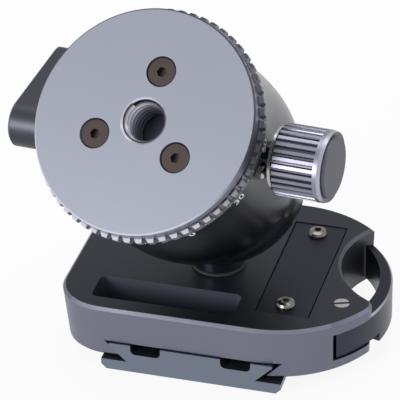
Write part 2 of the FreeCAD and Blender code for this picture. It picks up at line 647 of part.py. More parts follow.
def make_base_plate():
    """A plain disc over a coin-edged rim, which stands slightly proud of it past a narrow groove."""
    start, end = RING_TOP + FITTED, BASE_FACE
    solid = revolve([(0, start), (COIN_R - 0.5, start), (COIN_R + 0.1, start + 0.6), (COIN_R + 0.1, COIN_END - 0.7),
                     (COIN_R - 0.75, COIN_END + 0.1), (0, COIN_END + 0.1)])
    disc = revolve([(0, COIN_END - 0.4), (BASE_FACE_R - 1.0, COIN_END - 0.4), (BASE_FACE_R - 1.0, COIN_END + 0.5),
                    (BASE_FACE_R, COIN_END + 0.7), (BASE_FACE_R, end - 0.35), (BASE_FACE_R - 0.35, end), (0, end)])
    plate = ridged(COIN_R, COIN_R - 1.0, COIN_RIDGES, start, COIN_END).common(solid).fuse(disc)
    plate = plate.cut(cylinder(THREAD_R, 0, 60)).cut(
        cone(THREAD_R, THREAD_CHAMFER_R + 0.1, end - (THREAD_CHAMFER_R - THREAD_R), end + 0.1))
    for p in base_screw_places():
        at = (p.x, p.y)
        plate = plate.cut(cylinder(1.6, 0, 60, at)).cut(cone(1.6, 3.35, end - 2.15, end - 0.4, at))
        plate = plate.cut(cylinder(3.35, end - 0.4, 60, at))
    return plate.removeSplitter()


def make_base_screw(place):
    top = BASE_FACE - 0.35
    screw = revolve([(0, RING_TOP - 8), (1.48, RING_TOP - 8), (1.48, top - 1.75), (3.05, top - 0.2), (3.05, top),
                     (0, top)])
    screw = screw.cut(hexagon(2.0, top - 1.5, 60))
    screw.translate(Vector(place.x, place.y, 0))
    return screw


nodes["pan_hub"] = lean(make_pan_hub())
nodes["scale_ring"] = lean(make_scale_ring())
nodes["pan_bearing"] = lean(
    cylinder(HOUSING_END_R - 1.4, HOUSING_END + 0.05, RING_BOTTOM - 0.05).cut(
        cylinder(SHOULDER_R + 0.2, 0, BASE_FACE)))
nodes["base_plate"] = lean(make_base_plate())
for number, place in enumerate(base_screw_places(), 1):
    nodes["base_screw_%d" % number] = lean(make_base_screw(place))

for name, shape in nodes.items():
    if not shape.isValid() or len(shape.Solids) != 1:
        print("check", name, shape.isValid(), len(shape.Solids))
    shape.exportStep("parts/%s.step" % name)
print(len(nodes), "nodes")
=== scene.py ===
import json
import math

import bmesh
import bpy
from mathutils import Matrix, Vector


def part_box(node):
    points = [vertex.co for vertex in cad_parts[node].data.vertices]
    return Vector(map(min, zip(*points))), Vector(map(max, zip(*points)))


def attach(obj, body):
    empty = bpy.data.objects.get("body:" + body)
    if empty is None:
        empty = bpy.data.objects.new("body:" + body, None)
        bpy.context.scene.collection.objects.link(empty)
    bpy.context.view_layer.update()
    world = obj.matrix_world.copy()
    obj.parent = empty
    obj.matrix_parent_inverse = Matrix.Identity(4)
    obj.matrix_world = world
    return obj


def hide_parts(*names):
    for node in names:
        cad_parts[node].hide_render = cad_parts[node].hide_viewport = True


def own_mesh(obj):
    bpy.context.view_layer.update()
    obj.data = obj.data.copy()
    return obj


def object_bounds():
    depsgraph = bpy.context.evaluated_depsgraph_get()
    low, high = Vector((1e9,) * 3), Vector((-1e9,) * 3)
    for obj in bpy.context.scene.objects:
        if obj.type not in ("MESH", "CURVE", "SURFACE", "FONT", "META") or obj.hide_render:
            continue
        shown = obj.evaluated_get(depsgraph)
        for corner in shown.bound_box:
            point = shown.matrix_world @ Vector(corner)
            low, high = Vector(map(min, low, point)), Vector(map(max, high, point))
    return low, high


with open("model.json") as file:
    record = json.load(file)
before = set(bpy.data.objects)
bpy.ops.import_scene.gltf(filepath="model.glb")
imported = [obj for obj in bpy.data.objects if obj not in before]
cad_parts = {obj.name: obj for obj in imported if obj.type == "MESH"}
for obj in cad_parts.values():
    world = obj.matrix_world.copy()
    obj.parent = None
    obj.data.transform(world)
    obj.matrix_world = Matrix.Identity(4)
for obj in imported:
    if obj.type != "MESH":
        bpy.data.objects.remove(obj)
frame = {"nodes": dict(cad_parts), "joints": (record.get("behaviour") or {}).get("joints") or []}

CAD_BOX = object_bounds()

bl_info = {
    "name": "Tripod ball head",
    "version": (1, 0, 0),
    "blender": (4, 5, 0),
    "location": "View3D > Sidebar > Ball head",
    "description": "Finishes, threads, springs and dial marks of a tripod ball head",
    "category": "Object",
}

MM = 0.001
JOINTS = {j["name"]: j for j in frame["joints"]}

# The head's own axes: across it along the tilt axis, around it, and along it towards the tripod
BALL_CENTRE = Vector(JOINTS["ball_tilt"]["pos_m"])
HEAD_ALONG = Vector(JOINTS["pan"]["axis"]).normalized()
HEAD_ACROSS = -Vector(JOINTS["ball_tilt"]["axis"]).normalized()
HEAD_ROUND = HEAD_ALONG.cross(HEAD_ACROSS)
PAN_KNOB_AXIS = Vector(JOINTS["pan_knob_turn"]["axis"]).normalized()
PAN_KNOB_PLACE = Vector(JOINTS["pan_knob_turn"]["pos_m"])

# Places along the head's axis, in millimetres from the ball's middle
HOLE_MOUTH = 48.4
FINE_MARKS_AT = 43.05
LONG_MARKS_AT = 42.8
NUMBERS_AT = 39.4
CUP_SPRING_FROM, CUP_SPRING_TO = 21.6, 29.8

# The thread on the camera screw's shank, above the plate's resting face
SHANK_FOOT = 0.0009
SHANK_LENGTH = 0.0018

# Painted shade darkens the coin edge's ridge ends near this place on the rim; a painted highlight
# brightens them far from it
DARK_RIM_ANGLE = math.radians(75)
DARK_RIM_RADIUS = 27.0

# The finger scallop beside the lever, whose walls carry painted shade
SCALLOP_CENTRE = (0.0455, 0.0080, 0.0)

# Where one colour gives way to another at the edge of a painted light or shade: start and end of the
# blend, in millimetres from an axis
SCALLOP_EDGE = (19.3, 19.9)
HOLE_RIM = (7.0, 7.5)
DARK_RIM = (34.0, 46.0)
THREAD_CREST = (4.1, 4.6)
RIDGE_CREST = (7.35, 7.7)
STEM_NECK = (6.0, 6.3)

# More than any cosine, so a mask that ends here takes in the faces that look straight along its axis
SQUARE_ON = 1.1
# Direction of the clamp's front chamfer, which carries a painted highlight
FRONT_CHAMFER = (0.0, -0.707, 0.707)

# Paint on the dial, in metres, and the font size that gives digits of a given height
MARK_THICKNESS = 0.00006
DIGIT_THICKNESS = 0.00004
DIGIT_SWELL = 0.00003
FONT_PER_DIGIT = 1.4

# Degrees from one number of the dial to the next
NUMBER_STEP = 30

# The stage
FLOOR_REACH = 3.0
FLOOR_GAP = 0.00005
FLOOR_GLOW = 0.9
LAMP_TARGET = Vector((0.0, 0.0, 0.03))
SENSOR_MM = 36.0


def placed(origin, along, across):
    """A matrix whose Z runs along one direction and whose X is as near as it can be to another."""
    z = along.normalized()
    y = z.cross(across).normalized()
    x = y.cross(z)
    turn = Matrix((x, y, z)).transposed().to_4x4()
    return Matrix.Translation(origin) @ turn


def on_head(along_mm):
    """A place on the head's axis, this many millimetres from the ball's middle."""
    return placed(BALL_CENTRE + HEAD_ALONG * along_mm * MM, HEAD_ALONG, HEAD_ACROSS)


# Sizes and colours that a user would change

def length(name, description, default):
    return bpy.props.FloatProperty(name=name, description=description, default=default, min=0.0,
                                   subtype="DISTANCE", unit="LENGTH", precision=5)


def colour(name, description, default):
    return bpy.props.FloatVectorProperty(name=name, description=description, default=default, size=3,
                                         min=0.0, max=1.0, subtype="COLOR")


class BallHeadThreads(bpy.types.PropertyGroup):
    tripod_radius: length("Tripod thread radius", "Major radius of the 3/8 inch hole", 0.00476)
    tripod_pitch: length("Tripod thread pitch", "Sixteen turns to the inch", 0.0015875)
    tripod_depth: length("Tripod thread depth", "Height of one ridge, crest to root", 0.00074)
    tripod_length: length("Tripod thread length", "How far the ridges go down the hole", 0.0105)
    camera_radius: length("Camera screw radius", "Where the ridges sit on the 1/4 inch screw", 0.00302)
    camera_pitch: length("Camera screw pitch", "Twenty turns to the inch", 0.00127)
    camera_depth: length("Camera screw ridge", "Height of one ridge on the camera screw", 0.0003)


class BallHeadSprings(bpy.types.PropertyGroup):
    jaw_radius: length("Jaw spring radius", "Middle of the wire, from the coil's axis", 0.00120)
    jaw_wire: length("Jaw spring wire", "Radius of the wire", 0.0003)
    jaw_turns: bpy.props.FloatProperty(name="Jaw spring turns", description="Turns of each coil",
                                       default=6.0)
    cup_radius: length("Cup spring radius", "Middle of the wire, from the coil's axis", 0.00258)
    cup_wire: length("Cup spring wire", "Radius of the wire", 0.0004)
    cup_turns: bpy.props.FloatProperty(name="Cup spring turns", description="Turns of the coil",
                                       default=5.0)


class BallHeadScale(bpy.types.PropertyGroup):
    fine_count: bpy.props.IntProperty(name="Fine marks", description="Marks round the ring", default=72,
                                      min=1)
    long_count: bpy.props.IntProperty(name="Long marks", description="Longer marks round the ring",
                                      default=12, min=1)
    radius: length("Mark radius", "Radius of the ring that carries the marks", 0.0247)
    width: length("Mark width", "Width of one mark", 0.00016)
    fine_length: length("Fine mark length", "Length of a fine mark", 0.0006)
    long_length: length("Long mark length", "Length of a long mark", 0.0012)
    digit_height: length("Number height", "Height of the numbers on the housing", 0.0021)
    digit_radius: length("Number radius", "Radius at which the numbers stand", 0.02398)
    number_turn: bpy.props.FloatProperty(name="First number", description="Where the first number stands",
                                         default=math.radians(-55.0), subtype="ANGLE", unit="ROTATION")


class BallHeadColours(bpy.types.PropertyGroup):
    black: colour("Black anodising", "Tops of the clamp and the housing", (0.028, 0.030, 0.041))
    # Painted light: a lighter copy of the dark anodising, given to walls and slopes of the clamp, lever,
    # housing and base as where light falls on them
    slate: colour("Slate anodising", "Side walls of the clamp", (0.165, 0.170, 0.225))
    # The disc face: its own grey anodising lightened with painted light, as where it faces the lamps
    silver: colour("Silver anodising", "The disc on the base", (0.355, 0.375, 0.450))
    # Painted shade: a darker copy of the anodising for walls and rims turned away from the light, in the
    # clamp's finger scallop and on the base's coin edge
    shade: colour("Dark slate anodising", "Walls and rims turned away", (0.075, 0.077, 0.095))
    # Painted shade: near black on the cover's sloping edges, standing for the shadow in the gap round the
    # cover
    seam: colour("Seam", "Edge of the cover", (0.006, 0.008, 0.018))
    # Bright cut metal on chamfers, used as a painted highlight too: the clamp's front chamfer, the lever's
    # top chamfers, the pan knob's smooth band and the plate's sloping faces
    edge: colour("Cut edge", "Bright chamfers", (0.42, 0.42, 0.50))
    # Bare cut metal on the coin edge's ridge ends, the tripod hole's rim and the thread crests, also
    # carrying the painted highlight on the far side of the coin edge
    ridge_end: colour("Ridge ends", "Cut ends of the coin edge", (0.62, 0.62, 0.70))
    # Painted shade in the roots of the tripod hole's thread
    thread_root: colour("Thread root", "Bottom of the tripod hole's thread", (0.05, 0.05, 0.06))
    plate: colour("Plate anodising", "The camera plate", (0.175, 0.200, 0.255))
    # The pan knob's anodising on the ridge crests and the cap's sides, lighter than the cap's own tone by
    # a painted highlight
    knob: colour("Knob anodising", "The pan knob's ridges", (0.25, 0.255, 0.31))
    # Painted shade between the pan knob's ridges
    groove: colour("Knob grooves", "Between the pan knob's ridges", (0.09, 0.09, 0.115))
    cap: colour("Knob cap", "The flat end of the pan knob", (0.130, 0.130, 0.155))
    wing: colour("Wing knob", "The lock knob", (0.062, 0.065, 0.080))
    # Painted light: the lit tone of the ball's neck, lighter than the black ball
    stem: colour("Stem", "The ball's stem", (0.110, 0.118, 0.165))
    steel: colour("Stainless steel", "Small screws and pins", (0.45, 0.44, 0.43))
    dull_steel: colour("Dull steel", "The two screws of the cover", (0.20, 0.195, 0.18))
    oxide: colour("Black oxide", "The three screws in the base", (0.085, 0.068, 0.066))
    ring: colour("Ring anodising", "The ring of the dial", (0.11, 0.11, 0.115))
    spring: colour("Spring steel", "The wound springs", (0.42, 0.42, 0.43))
    brass: colour("Brass", "The pressure cup", (0.72, 0.52, 0.24))
    nylon: colour("Nylon", "The brake pad", (0.70, 0.70, 0.66))
    plastic: colour("Bearing plastic", "Washers and the bearing ring", (0.012, 0.012, 0.013))
    rubber: colour("Rubber", "The ring on the camera screw", (0.025, 0.025, 0.025))
    paint: colour("Dial paint", "Marks and numbers", (0.80, 0.81, 0.84))
    floor: colour("Floor", "The pale floor", (0.86, 0.86, 0.87))


class BallHeadStage(bpy.types.PropertyGroup):
    azimuth: bpy.props.FloatProperty(name="Azimuth", description="Camera's turn about the object",
                                     default=math.radians(16.400), subtype="ANGLE", unit="ROTATION")
    elevation: bpy.props.FloatProperty(name="Elevation", description="Camera's height angle",
                                       default=math.radians(32.151), subtype="ANGLE", unit="ROTATION")
    roll: bpy.props.FloatProperty(name="Roll", description="Camera's roll", default=math.radians(-1.2175),
                                  subtype="ANGLE", unit="ROTATION")
    distance: length("Distance", "Camera to its target", 0.650)
    target: bpy.props.FloatVectorProperty(name="Target", description="What the camera looks at", size=3,
                                          default=(-0.004779, 0.0, 0.030930), subtype="TRANSLATION",
                                          unit="LENGTH")
    lens_mm: bpy.props.FloatProperty(name="Lens", description="Focal length on a 36 mm sensor",
                                     default=256.90)
    key_power: bpy.props.FloatProperty(name="Key light", description="Power of the light above",
                                       default=1.0)
    front_power: bpy.props.FloatProperty(name="Front light", description="Power of the light at the front",
                                         default=1.5)
    side_power: bpy.props.FloatProperty(name="Side light", description="Power of the light at the right",
                                        default=0.6)
    sky: bpy.props.FloatProperty(name="Sky", description="Strength of the world's own light", default=0.55)


# Shader groups

def socket(tree, name, way, kind="NodeSocketFloat", default=None):
    item = tree.interface.new_socket(name=name, in_out=way, socket_type=kind)
    if default is not None:
        item.default_value = default


def grain_group():
    """Fine blasted grain in millimetre units, with a slow drift in shade and gloss."""
    tree = bpy.data.node_groups.new("blasted_grain", "ShaderNodeTree")
    socket(tree, "Grain size (mm)", "INPUT", default=0.12)
    socket(tree, "Drift", "INPUT", default=0.06)
    socket(tree, "Roughness", "INPUT", default=0.4)
    socket(tree, "Shade", "OUTPUT")
    socket(tree, "Gloss", "OUTPUT")
    socket(tree, "Height", "OUTPUT")
    add, link = tree.nodes.new, tree.links.new
    given, out = add("NodeGroupInput"), add("NodeGroupOutput")
    place = add("ShaderNodeTexCoord")
    pitch = add("ShaderNodeMath")
    pitch.operation = "DIVIDE"
    pitch.inputs[0].default_value = 1000.0
    link(given.outputs["Grain size (mm)"], pitch.inputs[1])
    fine = add("ShaderNodeTexNoise")
    fine.inputs["Detail"].default_value = 2.0
    link(place.outputs["Object"], fine.inputs["Vector"])
    link(pitch.outputs[0], fine.inputs["Scale"])
    slow = add("ShaderNodeTexNoise")
    slow.inputs["Scale"].default_value = 70.0
    slow.inputs["Detail"].default_value = 4.0
    link(place.outputs["Object"], slow.inputs["Vector"])
    both = add("ShaderNodeMath")
    both.operation = "ADD"
    link(fine.outputs["Fac"], both.inputs[0])
    link(slow.outputs["Fac"], both.inputs[1])
    centred = add("ShaderNodeMath")
    centred.operation = "SUBTRACT"
    link(both.outputs[0], centred.inputs[0])
    centred.inputs[1].default_value = 1.0
    shade = add("ShaderNodeMath")
    shade.operation = "MULTIPLY_ADD"
    link(centred.outputs[0], shade.inputs[0])
    link(given.outputs["Drift"], shade.inputs[1])
    shade.inputs[2].default_value = 1.0
    gloss = add("ShaderNodeMath")
    gloss.operation = "MULTIPLY"
    link(shade.outputs[0], gloss.inputs[0])
    link(given.outputs["Roughness"], gloss.inputs[1])
    link(shade.outputs[0], out.inputs["Shade"])
    link(gloss.outputs[0], out.inputs["Gloss"])
    link(fine.outputs["Fac"], out.inputs["Height"])
    return tree


def facing_group():
    """A mask of the faces whose slope to an axis lies between two cosines."""
    tree = bpy.data.node_groups.new("facing_band", "ShaderNodeTree")
    socket(tree, "Axis", "INPUT", "NodeSocketVector", (0.0, 0.0, 1.0))
    socket(tree, "From", "INPUT", default=0.5)
    socket(tree, "To", "INPUT", default=0.9)
    socket(tree, "Mask", "OUTPUT")
    add, link = tree.nodes.new, tree.links.new
    given, out = add("NodeGroupInput"), add("NodeGroupOutput")
    place = add("ShaderNodeTexCoord")
    dot = add("ShaderNodeVectorMath")
    dot.operation = "DOT_PRODUCT"
    link(place.outputs["Normal"], dot.inputs[0])
    link(given.outputs["Axis"], dot.inputs[1])
    above = add("ShaderNodeMath")
    above.operation = "GREATER_THAN"
    link(dot.outputs["Value"], above.inputs[0])
    link(given.outputs["From"], above.inputs[1])
    below = add("ShaderNodeMath")
    below.operation = "LESS_THAN"
    link(dot.outputs["Value"], below.inputs[0])
    link(given.outputs["To"], below.inputs[1])
    both = add("ShaderNodeMath")
    both.operation = "MULTIPLY"
    link(above.outputs[0], both.inputs[0])
    link(below.outputs[0], both.inputs[1])
    link(both.outputs[0], out.inputs["Mask"])
    return tree


def radius_group():
    """A mask that rises from 0 to 1 between two distances from an axis, in millimetres."""
    tree = bpy.data.node_groups.new("distance_from_axis", "ShaderNodeTree")
    socket(tree, "Axis", "INPUT", "NodeSocketVector", (0.0, 0.0, 1.0))
    socket(tree, "Place", "INPUT", "NodeSocketVector", (0.0, 0.0, 0.0))
    socket(tree, "Inner (mm)", "INPUT", default=1.0)
    socket(tree, "Outer (mm)", "INPUT", default=2.0)
    socket(tree, "Mask", "OUTPUT")
    add, link = tree.nodes.new, tree.links.new
    given, out = add("NodeGroupInput"), add("NodeGroupOutput")
    place = add("ShaderNodeTexCoord")
    away = add("ShaderNodeVectorMath")
    away.operation = "SUBTRACT"
    link(place.outputs["Object"], away.inputs[0])
    link(given.outputs["Place"], away.inputs[1])
    cross = add("ShaderNodeVectorMath")
    cross.operation = "CROSS_PRODUCT"
    link(away.outputs[0], cross.inputs[0])
    link(given.outputs["Axis"], cross.inputs[1])
    size = add("ShaderNodeVectorMath")
    size.operation = "LENGTH"
    link(cross.outputs[0], size.inputs[0])
    in_mm = add("ShaderNodeMath")
    in_mm.operation = "MULTIPLY"
    link(size.outputs["Value"], in_mm.inputs[0])
    in_mm.inputs[1].default_value = 1000.0
    ramp = add("ShaderNodeMapRange")
    link(in_mm.outputs[0], ramp.inputs["Value"])
    link(given.outputs["Inner (mm)"], ramp.inputs["From Min"])
    link(given.outputs["Outer (mm)"], ramp.inputs["From Max"])
    link(ramp.outputs["Result"], out.inputs["Mask"])
    return tree


# Materials

class Finish:
    """One procedural material: its colour is layered through masks, then varied by the grain."""

    def __init__(self, name, base, metallic=1.0, roughness=0.4, grain=0.12, drift=0.06, bump=0.04):
        self.material = bpy.data.materials.new(name)
        self.material.use_nodes = True
        self.nodes = self.material.node_tree.nodes
        self.link = self.material.node_tree.links.new
        self.shader = self.nodes["Principled BSDF"]
        self.shader.inputs["Metallic"].default_value = metallic
        self.grain = self.group("blasted_grain")
        self.grain.inputs["Grain size (mm)"].default_value = grain
        self.grain.inputs["Drift"].default_value = drift
        self.grain.inputs["Roughness"].default_value = roughness
        self.link(self.grain.outputs["Gloss"], self.shader.inputs["Roughness"])
        if bump:
            relief = self.nodes.new("ShaderNodeBump")
            relief.inputs["Strength"].default_value = bump
            relief.inputs["Distance"].default_value = 0.0001
            self.link(self.grain.outputs["Height"], relief.inputs["Height"])
            self.link(relief.outputs["Normal"], self.shader.inputs["Normal"])
        self.colour = None
        self.base = (*base, 1.0)

    def group(self, name):
        node = self.nodes.new("ShaderNodeGroup")
        node.node_tree = bpy.data.node_groups[name]
        return node

    def over(self, mask, tint, strength=1.0):
        """Lays a second colour over the first where the mask is white."""
        mix = self.nodes.new("ShaderNodeMix")
        mix.data_type = "RGBA"
        scaled = self.nodes.new("ShaderNodeMath")
        scaled.operation = "MULTIPLY"
        self.link(mask, scaled.inputs[0])
        scaled.inputs[1].default_value = strength
        self.link(scaled.outputs[0], mix.inputs["Factor"])
        if self.colour is None:
            mix.inputs["A"].default_value = self.base
        else:
            self.link(self.colour, mix.inputs["A"])
        mix.inputs["B"].default_value = (*tint, 1.0)
        self.colour = mix.outputs["Result"]
        return self

    def facing(self, axis, low, high, tint, strength=1.0):
        """Tints the faces whose cosine to the axis lies between two values."""
        node = self.group("facing_band")
        node.inputs["Axis"].default_value = axis
        node.inputs["From"].default_value = low
        node.inputs["To"].default_value = high
        return self.over(node.outputs["Mask"], tint, strength)

    def beyond(self, axis, place, blend, tint):
        """Tints what lies further from the axis than the blend, which is in millimetres."""
        node = self.group("distance_from_axis")
        node.inputs["Axis"].default_value = axis
        node.inputs["Place"].default_value = place
        node.inputs["Inner (mm)"].default_value, node.inputs["Outer (mm)"].default_value = blend
        return self.over(node.outputs["Mask"], tint)

    def done(self):
        vary = self.nodes.new("ShaderNodeMix")
        vary.data_type = "RGBA"
        vary.blend_type = "MULTIPLY"
        vary.inputs["Factor"].default_value = 1.0
        if self.colour is None:
            vary.inputs["A"].default_value = self.base
        else:
            self.link(self.colour, vary.inputs["A"])
        self.link(self.grain.outputs["Shade"], vary.inputs["B"])
        self.link(vary.outputs["Result"], self.shader.inputs["Base Color"])


def make_finishes():
    tint = bpy.context.scene.ball_head_colours
    up, down = (0.0, 0.0, 1.0), (0.0, 0.0, -1.0)
    along, ball_centre = tuple(HEAD_ALONG), tuple(BALL_CENTRE)
    # Where the painted shade on the coin edge is centred
    towards_dark = HEAD_ACROSS * math.cos(DARK_RIM_ANGLE) + HEAD_ROUND * math.sin(DARK_RIM_ANGLE)
    dark_rim = tuple(BALL_CENTRE + towards_dark * DARK_RIM_RADIUS * MM)
    knob_axis, knob_place = tuple(PAN_KNOB_AXIS), tuple(PAN_KNOB_PLACE)
    stem_place = (BALL_CENTRE.x, BALL_CENTRE.y, 0.0)

    # Painted light and shade on the clamp: walls inside the finger scallop take the painted shade, the
    # other walls the lighter slate, the front chamfer a painted highlight; tops and undersides keep the
    # black anodising
    clamp = Finish("clamp_anodising", tint.shade, metallic=0.75, roughness=0.42, grain=0.16)
    clamp.beyond(up, SCALLOP_CENTRE, SCALLOP_EDGE, tint.slate)
    clamp.facing(FRONT_CHAMFER, 0.88, SQUARE_ON, tint.edge, 0.25)
    clamp.facing(up, 0.90, SQUARE_ON, tint.black).facing(down, 0.40, SQUARE_ON, tint.black).done()
    # The cover's sloping edges carry painted shade for the gap round it
    cover = Finish("cover_anodising", tint.black, roughness=0.40, grain=0.16)
    cover.facing(up, 0.30, 0.95, tint.seam).done()
    # Painted light on the lever: its walls a touch lighter and its top chamfers a painted highlight, over
    # the black anodising
    lever = Finish("lever_anodising", tint.black, roughness=0.34, grain=0.14)
    lever.facing(up, -0.40, 0.40, tint.slate, 0.15).facing(up, 0.45, 0.88, tint.edge, 0.6).done()

    # Painted light: the housing's shoulder that slopes towards the base is given the lighter slate, over
    # its black anodising
    housing = Finish("housing_anodising", tint.black, roughness=0.24, grain=0.14)
    housing.facing(along, 0.5, 0.9, tint.slate).done()
    housing.shader.inputs["Specular Tint"].default_value = (0.85, 0.85, 0.85, 1.0)
    housing.shader.inputs["Coat Weight"].default_value = 0.2
    housing.shader.inputs["Coat Roughness"].default_value = 0.25

    # Painted light and shade on the base: the ridge ends darkened by painted shade near one place on the
    # rim and lit by a painted highlight far from it, the disc face lightened by painted light, the sides
    # given the lighter slate; the tripod hole's rim keeps the bright cut metal
    base = Finish("base_anodising", tint.ridge_end, roughness=0.38, grain=0.10, drift=0.03, bump=0.05)
    base.beyond(along, ball_centre, HOLE_RIM, tint.shade)
    base.beyond(along, dark_rim, DARK_RIM, tint.ridge_end)
    base.facing(along, 0.95, SQUARE_ON, tint.silver).facing(along, -SQUARE_ON, 0.3, tint.slate).done()
    # The thread's crests are bright cut metal; its roots are darkened with painted shade
    thread = Finish("cut_thread", tint.ridge_end, roughness=0.3, grain=0.2)
    thread.beyond(along, ball_centre, THREAD_CREST, tint.thread_root).done()
    Finish("ring_anodising", tint.ring, roughness=0.45).done()

    # Painted shade in the grooves, the ridge crests lighter with a painted highlight, and the smooth band
    # lit further with a painted highlight in the cut-edge colour
    knob = Finish("knob_anodising", tint.groove, roughness=0.37, grain=0.10)
    knob.beyond(knob_axis, knob_place, RIDGE_CREST, tint.knob)
    knob.facing(knob_axis, 0.15, 0.9, tint.edge).done()
    # The cap's sides take the ridges' lighter tone as a painted highlight; its flat end keeps its own tone
    cap = Finish("cap_anodising", tint.knob, roughness=0.5, grain=0.10, drift=0.10, bump=0.10)
    cap.facing(knob_axis, 0.3, SQUARE_ON, tint.cap).done()
    Finish("wing_anodising", tint.wing, roughness=0.42, grain=0.12).done()

    # The plate's and jaw's downward-sloping faces are lightened with a painted highlight
    plate = Finish("plate_anodising", tint.plate, roughness=0.42, grain=0.14)
    plate.facing(up, -0.9, -0.3, tint.edge, 0.3).done()
    # Painted light: the stem's neck near the upright axis is lighter than the black ball, as where light
    # falls on it
    ball = Finish("ball_anodising", tint.stem, roughness=0.25, grain=0.3, drift=0.03, bump=0.0)
    ball.beyond(up, stem_place, STEM_NECK, tint.black).done()

    Finish("stainless_steel", tint.steel, roughness=0.24, grain=0.2, bump=0.02).done()
    Finish("dull_steel", tint.dull_steel, roughness=0.28, grain=0.2, drift=0.15, bump=0.02).done()
    Finish("black_oxide", tint.oxide, roughness=0.42, grain=0.15, drift=0.12).done()
    Finish("spring_steel", tint.spring, roughness=0.3, grain=0.3, bump=0.0).done()
    Finish("turned_brass", tint.brass, roughness=0.3, grain=0.2).done()
    Finish("nylon", tint.nylon, metallic=0.0, roughness=0.5, grain=0.4).done()
    Finish("bearing_plastic", tint.plastic, metallic=0.0, roughness=0.75, grain=0.3).done()
    Finish("black_rubber", tint.rubber, metallic=0.0, roughness=0.8, grain=0.5, bump=0.15).done()
    Finish("dial_paint", tint.paint, metallic=0.0, roughness=0.6, grain=0.3, drift=0.08, bump=0.0).done()


NODE_FINISH = {
    "camera_plate": "plate_anodising", "camera_screw": "stainless_steel", "screw_ring": "black_rubber",
    "clamp_body": "clamp_anodising", "lever_catch": "stainless_steel", "jaw_cover": "cover_anodising",
    "cover_screw_1": "dull_steel", "cover_screw_2": "dull_steel", "moving_jaw": "plate_anodising",
    "cam_follower": "stainless_steel", "lever": "lever_anodising", "lever_pin": "stainless_steel",
    "jaw_spring_1": "spring_steel", "jaw_spring_2": "spring_steel", "cup_spring": "spring_steel",
    "ball_stem": "ball_anodising", "clamp_screw": "black_oxide", "stem_washer": "bearing_plastic",
    "housing": "housing_anodising", "index_pin": "stainless_steel", "pressure_cup": "turned_brass",
    "lock_knob": "wing_anodising", "lock_spindle": "stainless_steel", "lock_washer": "bearing_plastic",
    "pan_knob": "knob_anodising", "pan_cap": "cap_anodising", "pan_washer": "stainless_steel",
    "pan_spindle": "stainless_steel", "pan_brake_pad": "nylon", "pan_hub": "plate_anodising",
    "scale_ring": "ring_anodising", "pan_bearing": "bearing_plastic", "base_plate": "base_anodising",
    "base_screw_1": "black_oxide", "base_screw_2": "black_oxide", "base_screw_3": "black_oxide",
}


def paint(piece, name):
    piece.data.materials.clear()
    piece.data.materials.append(bpy.data.materials[name])


# Geometry trees for what repeats

def coil_tree():
    """A wire wound about Z. A four-sided wire makes the ridges of a thread, a round one a spring."""
    tree = bpy.data.node_groups.new("wound_wire", "GeometryNodeTree")
    socket(tree, "Coil Radius", "INPUT", default=0.005)
    socket(tree, "Turns", "INPUT", default=5.0)
    socket(tree, "Height", "INPUT", default=0.01)
    socket(tree, "Wire Radius", "INPUT", default=0.0005)
    socket(tree, "Wire Sides", "INPUT", "NodeSocketInt", 4)
    socket(tree, "Points per Turn", "INPUT", "NodeSocketInt", 40)
    socket(tree, "Material", "INPUT", "NodeSocketMaterial")
    socket(tree, "Geometry", "OUTPUT", "NodeSocketGeometry")
    add, link = tree.nodes.new, tree.links.new
    given, out = add("NodeGroupInput"), add("NodeGroupOutput")
    spiral = add("GeometryNodeCurveSpiral")
    link(given.outputs["Points per Turn"], spiral.inputs["Resolution"])
    link(given.outputs["Turns"], spiral.inputs["Rotations"])
    link(given.outputs["Coil Radius"], spiral.inputs["Start Radius"])
    link(given.outputs["Coil Radius"], spiral.inputs["End Radius"])
    link(given.outputs["Height"], spiral.inputs["Height"])
    upright = add("GeometryNodeSetCurveNormal")
    upright.mode = "Z_UP"
    link(spiral.outputs["Curve"], upright.inputs["Curve"])
    wire = add("GeometryNodeCurvePrimitiveCircle")
    link(given.outputs["Wire Sides"], wire.inputs["Resolution"])
    link(given.outputs["Wire Radius"], wire.inputs["Radius"])
    sweep = add("GeometryNodeCurveToMesh")
    sweep.inputs["Fill Caps"].default_value = True
    link(upright.outputs["Curve"], sweep.inputs["Curve"])
    link(wire.outputs["Curve"], sweep.inputs["Profile Curve"])
    whole = add("GeometryNodeRealizeInstances")
    link(sweep.outputs["Mesh"], whole.inputs["Geometry"])
    skin = add("GeometryNodeSetMaterial")
    link(whole.outputs["Geometry"], skin.inputs["Geometry"])
    link(given.outputs["Material"], skin.inputs["Material"])
    link(skin.outputs["Geometry"], out.inputs["Geometry"])
    return tree


